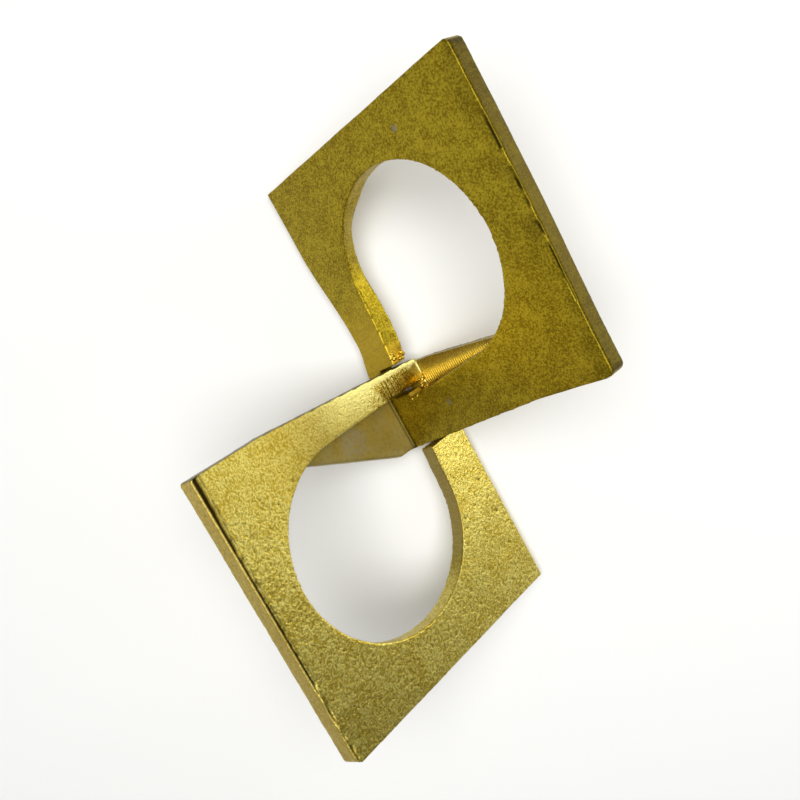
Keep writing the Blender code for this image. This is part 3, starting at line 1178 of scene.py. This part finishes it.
    def _file_arm(self, at: Surface, point: Point) -> None:
        """File the foot arm across, paint a highlight on its end, and give the wall beside the weld
        the weld's colour.

        Args:
            at: The point's surface, changed in place.
            point: The point of the skin.
        """
        x, y, front = point.x, point.y, point.front
        filed = ramp(abs(y - self.FILED_MIDDLE), *self.FILED_REACH) * ramp(x, *self.FILED_X) * front
        at.dressed = self.FILED_SHARE * filed
        wall = ramp(point.normal.x, *self.WELD_TURN) * ramp(y, *self.WELD_Y)
        wall *= ramp(x, *self.WELD_HIGH_X) * ramp(x, *self.WELD_LOW_X)
        bright = ramp(y, *self.BRIGHT_FAR_Y) * ramp(y, *self.BRIGHT_NEAR_Y)
        bright *= front * ramp(x, *self.BRIGHT_X)
        # Painted highlight: the foot arm's front is painted lighter in the weld's colour towards
        # the crossing, where it turns to the light
        at.weld = max(self.WELD_SHARE * wall, self.BRIGHT_SHARE * bright)

    def _shade_edges(self, at: Surface, point: Point) -> None:
        """Paint shade on the far end, its notched front edge and the crease of the toe's fold.

        Args:
            at: The point's surface, changed in place.
            point: The point of the skin.
        """
        x, y, front, place = point.x, point.y, point.front, point.place
        end = ramp(point.normal.x, *self.DARK_END_TURN) * ramp(x, *self.DARK_END_X)
        rim = clamp(self.RIM_LEVEL + self.RIM_BREAK * grain(place, self.RIM_SIZE, seed=73.0))
        rim *= ramp(x, *self.RIM_X) * front
        shut = ramp(abs(x - self.SHUT_MIDDLE[0]), *self.SHUT_WIDTH)
        shut *= ramp(abs(y - self.SHUT_MIDDLE[1]), *self.SHUT_REACH) * front
        shut *= ramp(grain(place, self.SHUT_BREAK_SIZE, seed=79.0), *self.SHUT_BREAK)
        at.lift -= self.SHUT_DEPTH * shut
        fold = Vector((x - self.FOLD_PLACE, point.z)).length
        crease = self.FOLD_SHARE * ramp(fold, *self.FOLD_WIDTH) * ramp(y, *self.FOLD_Y)
        dark_end = self.DARK_END_SHARE * end
        # Painted shade: the far end's face, the notches and seam along its front edge, and the
        # fold's crease
        at.recess = max(at.recess, dark_end, self.RIM_SHARE * rim, shut, crease)

    def _wear_spots(self, at: Surface, point: Point, toe: float) -> None:
        """Wear the lacquer off in a scratch, a small spot and the middle of the toe.

        Args:
            at: The point's surface, changed in place.
            point: The point of the skin.
            toe: How far it is on the toe.
        """
        centres = [(x * MM, -y * MM) for x, y in (self.SCRATCH, self.BARE_SPOT)]
        scratch = spot(point.place, centres[0], self.SCRATCH_RADIUS) * point.front
        patch = spot(point.place, centres[1], self.BARE_RADIUS) * point.front
        off = Vector((point.z - self.WORN[0], point.y - self.WORN[1]))
        worn = ramp(off.length, *self.WORN_REACH) * toe
        scratch = max(scratch, self.WORN_SHARE * worn)
        broken = self.SCRATCH_BREAK * grain(point.place, self.SCRATCH_SIZE, seed=71.0)
        at.bare = max(scratch * clamp(self.SCRATCH_LEVEL + broken), patch)

    def _heel_beads(self, material: bpy.types.Material) -> None:
        """Set a short fillet of weld beads where the foot arm reaches the other link.

        Args:
            material: The weld's finish.
        """
        draw = random.Random(self.HEEL_DRAW)
        spots = self._scatter(draw, self.HEEL_BEADS, self.HEEL_BOX, self.HEEL_RADII)
        for _ in range(self.FILLET_BEADS):
            radius = draw.uniform(*self.FILLET_RADII) * MM
            x = draw.uniform(*self.FILLET_UP) * MM
            y = -(self.seat_end + radius + draw.uniform(*self.FILLET_OFF) * MM)
            spots.append((Vector((x, y, draw.uniform(*self.FILLET_BACK) * MM)), radius))
        self._beads(f"{self.name}_heel_beads", spots, material)


# Pale gold over a coarse sand skin: the rubbed high spots are bright and the hollows brown
LOWER_GOLD = CastGold(
    name="antique_gold_coarse_cast_aluminium",
    high="d9cb6c",
    low="b59c34",
    hollow="2c2209",
    fleck_size=0.8 * MM,
    roughness=0.37,
    fleck_depth=0.20 * MM,
    # Pale gold for the rubbed arm: wear and painted highlight
    bare_colour="e6e8a4",
)
# The same lacquer laid thicker over a finer skin: olive, and clouded more than pebbled
UPPER_GOLD = CastGold(
    name="antique_gold_fine_cast_aluminium",
    high="bba52c",
    low="857012",
    hollow="3a300c",
    mottle_size=6.0 * MM,
    fleck_size=0.7 * MM,
    roughness=0.46,
    smooth_colour="9a8a4c",
)
# Weld metal that the lacquer took up deeply: granular and orange
WELD_METAL = CastGold(
    name="gold_tinted_aluminium_weld",
    high="e0c04a",
    low="b8962a",
    hollow="4a3a0c",
    fleck_size=0.5 * MM,
    roughness=0.34,
)


@dataclass(frozen=True)
class SoftBox:
    """One square soft box.

    Attributes:
        name: The light's name.
        place: Where it hangs.
        size: The side of the square, in metres.
        power: Its power, in watts.
    """

    name: str
    place: tuple[float, float, float]
    size: float
    power: float


SOFT_BOXES = (
    SoftBox("key_soft_box", (0.62, 0.02, 0.125), size=0.32, power=1.55),
    SoftBox("top_soft_box", (0.05, 0.10, 0.95), size=0.80, power=10.0),
    SoftBox("left_fill", (-0.70, 0.15, 0.30), size=0.40, power=0.5),
)


@dataclass
class Studio:
    """A pale table under soft lights, with the camera looking down on the open V.

    Attributes:
        camera_place: Where the camera is.
        view: The way it looks.
        up: What it holds upright.
        lens: Its focal length, in millimetres.
        sensor: Its sensor's width, in millimetres.
    """

    FLOOR_HALF, FLOOR_HEIGHT, FLOOR_ROUGHNESS = 2.5, -0.2 * MM, 0.9
    FLOOR_COLOUR, ROOM_COLOUR, ROOM_STRENGTH = "f7f7f5", "b4b4b4", 0.30
    NEAREST_SEEN, LIT_POINT = 0.01, (0.0, 0.0, 0.03)

    camera_place: Vector = field(default_factory=lambda: Vector((0.03396, 0.03776, 0.32467)))
    view: Vector = field(default_factory=lambda: Vector((-0.11982, -0.12180, -0.98530)))
    up: Vector = field(default_factory=lambda: Vector((0.46507, 0.86993, -0.16410)))
    lens: float = 36.4
    sensor: float = 36.0

    def build(self) -> None:
        """Make the floor, the camera, the lights and the world."""
        self._floor()
        self._camera()
        for box in SOFT_BOXES:
            self._light(box)
        bpy.context.scene.view_settings.view_transform = "Standard"
        self._world()

    def _floor(self) -> None:
        """A wide matt sheet of white paper."""
        bm = bmesh.new()
        bmesh.ops.create_grid(bm, x_segments=1, y_segments=1, size=self.FLOOR_HALF)
        mesh = bpy.data.meshes.new("paper_floor")
        bm.to_mesh(mesh)
        bm.free()
        paper = bpy.data.materials.new("matt_white_paper")
        paper.use_nodes = True
        shader = paper.node_tree.nodes["Principled BSDF"]
        shader.inputs["Base Color"].default_value = linear(self.FLOOR_COLOUR)
        shader.inputs["Roughness"].default_value = self.FLOOR_ROUGHNESS
        mesh.materials.append(paper)
        floor = bpy.data.objects.new("paper_floor", mesh)
        floor.location.z = self.FLOOR_HEIGHT
        bpy.context.scene.collection.objects.link(floor)

    def _camera(self) -> None:
        """Aim the camera along its view, with its own up."""
        back = -self.view.normalized()
        right = self.up.cross(back).normalized()
        up = back.cross(right)
        turn = Matrix((right, up, back)).transposed().to_4x4()
        data = bpy.data.cameras.new("camera")
        data.lens = self.lens
        data.sensor_width = self.sensor
        data.clip_start = self.NEAREST_SEEN
        camera = bpy.data.objects.new("camera", data)
        camera.matrix_world = Matrix.Translation(self.camera_place) @ turn
        bpy.context.scene.collection.objects.link(camera)
        bpy.context.scene.camera = camera

    def _light(self, box: SoftBox) -> None:
        """Hang one soft box aimed at the crossing.

        Args:
            box: The soft box.
        """
        data = bpy.data.lights.new(box.name, "AREA")
        data.size = box.size
        data.energy = box.power
        light = bpy.data.objects.new(box.name, data)
        light.location = box.place
        aim = (Vector(self.LIT_POINT) - Vector(box.place)).to_track_quat("-Z", "Y")
        light.rotation_euler = aim.to_euler()
        bpy.context.scene.collection.objects.link(light)

    def _world(self) -> None:
        """A dim grey room behind the lights."""
        world = bpy.data.worlds.new("studio")
        world.use_nodes = True
        background = world.node_tree.nodes["Background"]
        background.inputs["Color"].default_value = linear(self.ROOM_COLOUR)
        background.inputs["Strength"].default_value = self.ROOM_STRENGTH
        bpy.context.scene.world = world


def standing_place() -> Stand:
    """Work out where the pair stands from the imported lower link.

    Returns:
        The stand.
    """
    low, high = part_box("lower_link")
    reach = Link.foot_reach + Link.thickness - EDGE_CHAMFER
    return Stand(crossing=high.y, height=low.z + reach / math.sqrt(2))


def main() -> None:
    """Build both links and the studio, and log each piece."""
    logging.basicConfig(level=logging.INFO, format="%(name)s: %(message)s")
    stand = standing_place()
    lower = LowerLink(
        name="lower_link",
        stand=stand,
        finish=LOWER_GOLD,
        near_end_radius=1.0 * MM,
        grain_size=1.05 * MM,
        grain_height=0.15 * MM,
        half_turned=False,
        window_size=Vector((76.0, 76.0)) * MM,
        window_shift=Vector((2.7, 1.9)) * MM,
        corner_stands_out=-6.0 * MM,
        hooked_radius=7.0 * MM,
        seat_end=38.5 * MM,
        toe_shoulder_edge=7.2 * MM,
        toe_tip_edge=10.0 * MM,
        seam_side=SeamSide.HOOKED_ARM,
        seam_at=7.5 * MM,
        seed=3.1,
    )
    upper = UpperLink(
        name="upper_link",
        stand=stand,
        finish=UPPER_GOLD,
        half_turned=True,
        window_size=Vector((70.0, 72.5)) * MM,
        window_shift=Vector((1.0, -2.5)) * MM,
        corner_stands_out=5.4 * MM,
        hooked_radius=2.0 * MM,
        seat_start=17.0 * MM,
        seat_end=29.1 * MM,
        toe_shoulder_edge=-4.5 * MM,
        toe_tip_edge=13.5 * MM,
        seam_side=SeamSide.FOOT_ARM,
        seam_at=40.0 * MM,
        grain_size=1.0 * MM,
        grain_height=0.07 * MM,
        seed=8.4,
    )
    for link in (lower, upper):
        link.build()
    Studio().build()


if __name__ == "__main__":
    main()
